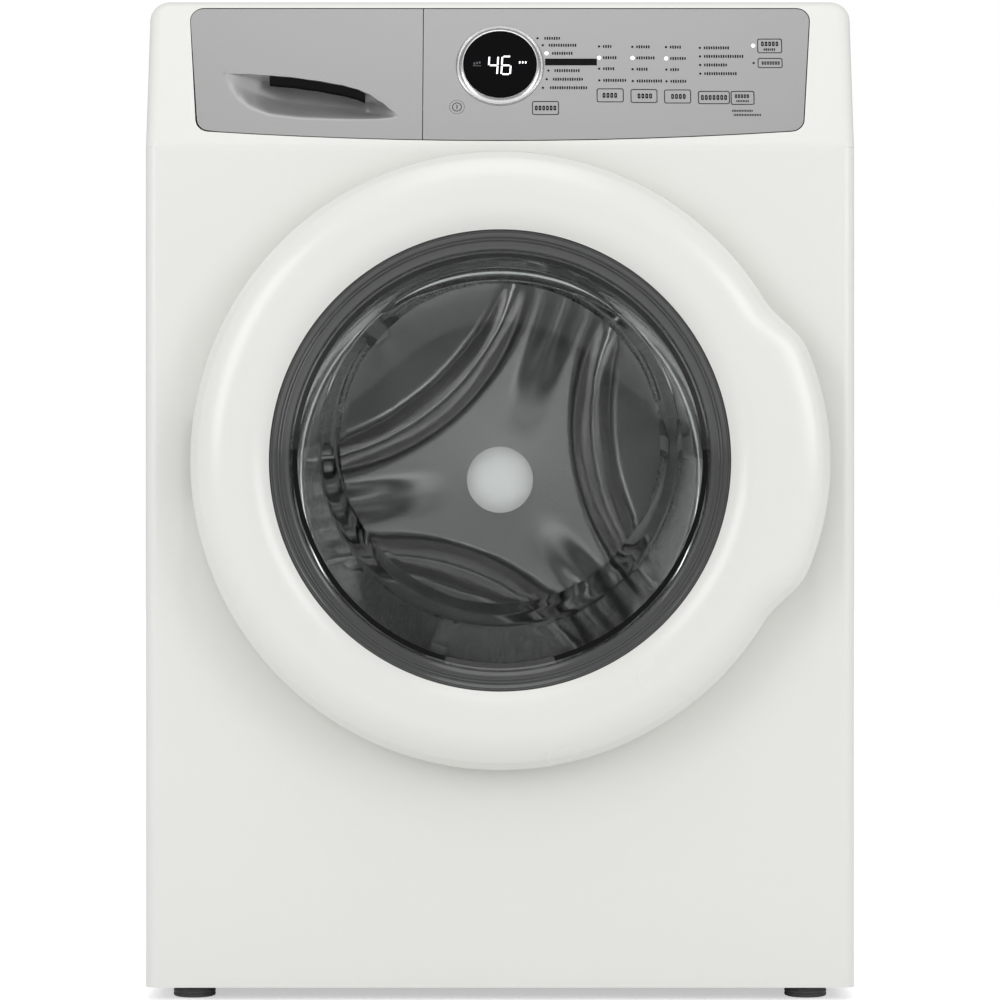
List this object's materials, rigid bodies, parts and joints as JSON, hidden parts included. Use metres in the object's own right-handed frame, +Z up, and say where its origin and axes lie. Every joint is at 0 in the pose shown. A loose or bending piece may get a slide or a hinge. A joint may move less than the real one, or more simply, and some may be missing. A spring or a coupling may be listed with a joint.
{
  "type": "front load washing machine",
  "caption": "Front load washing machine with a round hinged door and glass bowl, leaning silver control console, detergent drawer, belt driven drum and levelling feet.",
  "frame": {"origin": "on the floor under the middle of the machine", "axes": "+X to the machine's right as seen from the front, +Y to its back, +Z up"},
  "size_m": [0.6858, 0.8128, 0.9716],
  "materials": {
    "white_enamel": "smooth white baked enamel on sheet steel",
    "white_plastic": "glossy white moulded plastic",
    "silver_face": "silver face with fine horizontal brushing",
    "bezel_metal": "satin silver bevel",
    "black_lens": "gloss black display window",
    "silver_button": "silver key with dark outline",
    "smoked_trim": "smoked dark grey gloss plastic",
    "bowl_glass": "clear pressed glass",
    "gasket_rubber": "grey moulded rubber",
    "stainless": "satin stainless steel",
    "zinc_steel": "zinc plated steel",
    "cast_aluminium": "as cast aluminium",
    "tub_plastic": "light grey filled polypropylene",
    "inner_plastic": "plain white moulding",
    "dark_plastic": "dark grey moulding",
    "concrete": "cast concrete",
    "hose_rubber": "black hose rubber",
    "board_green": "circuit board"
  },
  "bodies": {
    "cabinet": {"cabinet_wrap": "white_enamel", "rear_access_cover": "white_enamel", "top_panel": "white_enamel", "front_panel": "white_enamel", "base_frame": "zinc_steel", "console_frame": "white_plastic", "control_fascia": "silver_face", "display_bezel": "bezel_metal", "display_lens": "black_lens", "control_board": "board_green", "dispenser_housing": "inner_plastic", "inlet_valves": "inner_plastic", "fill_hoses": "hose_rubber", "dispenser_hose": "hose_rubber", "door_gasket": "gasket_rubber", "door_lock": "dark_plastic", "hinge_bracket": "zinc_steel", "drain_pump": "dark_plastic", "sump_hose": "hose_rubber", "drain_hose": "hose_rubber", "damper_cylinders": "dark_plastic", "suspension_springs": "zinc_steel", "cover_screws": "zinc_steel", "power_gland": "dark_plastic"},
    "tub": {"tub_front": "tub_plastic", "tub_rear": "tub_plastic", "counterweight_upper": "concrete", "counterweight_front": "concrete", "motor_housing": "cast_aluminium", "drum_bearings": "zinc_steel", "damper_rods": "inner_plastic", "drive_belt": "hose_rubber"},
    "drum": {"drum_shell": "stainless", "drum_rear_wall": "stainless", "drum_spider": "cast_aluminium", "drum_shaft": "zinc_steel", "drum_pulley": "cast_aluminium", "drum_lifters": "inner_plastic"},
    "motor": {"motor_rotor": "zinc_steel"},
    "door": {"door_ring": "white_plastic", "door_inner_frame": "inner_plastic", "door_trim_ring": "smoked_trim", "door_glass": "bowl_glass", "door_strike": "zinc_steel", "door_hinge_arm": "zinc_steel"},
    "drawer": {"drawer_front": "silver_face", "drawer_tray": "inner_plastic"},
    "power_key": {"power_button": "silver_button"},
    "cycles_key": {"cycles_button": "silver_button"},
    "temp_key": {"temp_button": "silver_button"},
    "soil_key": {"soil_button": "silver_button"},
    "spin_key": {"spin_button": "silver_button"},
    "options_key": {"options_button": "silver_button"},
    "select_key": {"select_button": "silver_button"},
    "start_key": {"start_button": "silver_button"},
    "cancel_key": {"cancel_button": "silver_button"},
    "foot_front_left": {"foot_front_left": "dark_plastic"},
    "foot_front_right": {"foot_front_right": "dark_plastic"},
    "foot_rear_left": {"foot_rear_left": "dark_plastic"},
    "foot_rear_right": {"foot_rear_right": "dark_plastic"}
  },
  "joints": [
    {"name": "door_hinge", "type": "hinge", "parent": "cabinet", "child": "door", "pos_m": [-0.288, -0.368, 0.521], "axis": [0, 0, -1], "range_deg": [0, 130]},
    {"name": "drawer_slide", "type": "slide", "parent": "cabinet", "child": "drawer", "axis": [0, -1, 0], "range_m": [0, 0.2]},
    {"name": "tub_float", "type": "slide", "parent": "cabinet", "child": "tub", "axis": [0, 0, 1], "range_m": [-0.008, 0.008], "stiffness_N_per_m": 15000, "springref_m": 0.03074, "deforming": ["suspension_springs", "door_gasket", "sump_hose", "dispenser_hose"]},
    {"name": "drum_spin", "type": "hinge", "parent": "tub", "child": "drum", "pos_m": [0, 0, 0.506], "axis": [0, 1, 0], "continuous": true},
    {"name": "motor_spin", "type": "hinge", "parent": "tub", "child": "motor", "pos_m": [0, 0, 0.13], "axis": [0, 1, 0], "continuous": true},
    {"name": "power_press", "type": "slide", "parent": "cabinet", "child": "power_key", "axis": [0, 0.9455, -0.3256], "range_m": [0, 0.001], "stiffness_N_per_m": 2000},
    {"name": "cycles_press", "type": "slide", "parent": "cabinet", "child": "cycles_key", "axis": [0, 0.9455, -0.3256], "range_m": [0, 0.001], "stiffness_N_per_m": 2000},
    {"name": "temp_press", "type": "slide", "parent": "cabinet", "child": "temp_key", "axis": [0, 0.9455, -0.3256], "range_m": [0, 0.001], "stiffness_N_per_m": 2000},
    {"name": "soil_press", "type": "slide", "parent": "cabinet", "child": "soil_key", "axis": [0, 0.9455, -0.3256], "range_m": [0, 0.001], "stiffness_N_per_m": 2000},
    {"name": "spin_press", "type": "slide", "parent": "cabinet", "child": "spin_key", "axis": [0, 0.9455, -0.3256], "range_m": [0, 0.001], "stiffness_N_per_m": 2000},
    {"name": "options_press", "type": "slide", "parent": "cabinet", "child": "options_key", "axis": [0, 0.9455, -0.3256], "range_m": [0, 0.001], "stiffness_N_per_m": 2000},
    {"name": "select_press", "type": "slide", "parent": "cabinet", "child": "select_key", "axis": [0, 0.9455, -0.3256], "range_m": [0, 0.001], "stiffness_N_per_m": 2000},
    {"name": "start_press", "type": "slide", "parent": "cabinet", "child": "start_key", "axis": [0, 0.9455, -0.3256], "range_m": [0, 0.001], "stiffness_N_per_m": 2000},
    {"name": "cancel_press", "type": "slide", "parent": "cabinet", "child": "cancel_key", "axis": [0, 0.9455, -0.3256], "range_m": [0, 0.001], "stiffness_N_per_m": 2000},
    {"name": "front_left_foot_screw", "type": "slide", "parent": "cabinet", "child": "foot_front_left", "axis": [0, 0, -1], "range_m": [0, 0.015]},
    {"name": "front_right_foot_screw", "type": "slide", "parent": "cabinet", "child": "foot_front_right", "axis": [0, 0, -1], "range_m": [0, 0.015]},
    {"name": "rear_left_foot_screw", "type": "slide", "parent": "cabinet", "child": "foot_rear_left", "axis": [0, 0, -1], "range_m": [0, 0.015]},
    {"name": "rear_right_foot_screw", "type": "slide", "parent": "cabinet", "child": "foot_rear_right", "axis": [0, 0, -1], "range_m": [0, 0.015]}
  ],
  "couplings": [
    {"joint": "motor_spin", "follows": "drum_spin", "ratio": 12}
  ]
}
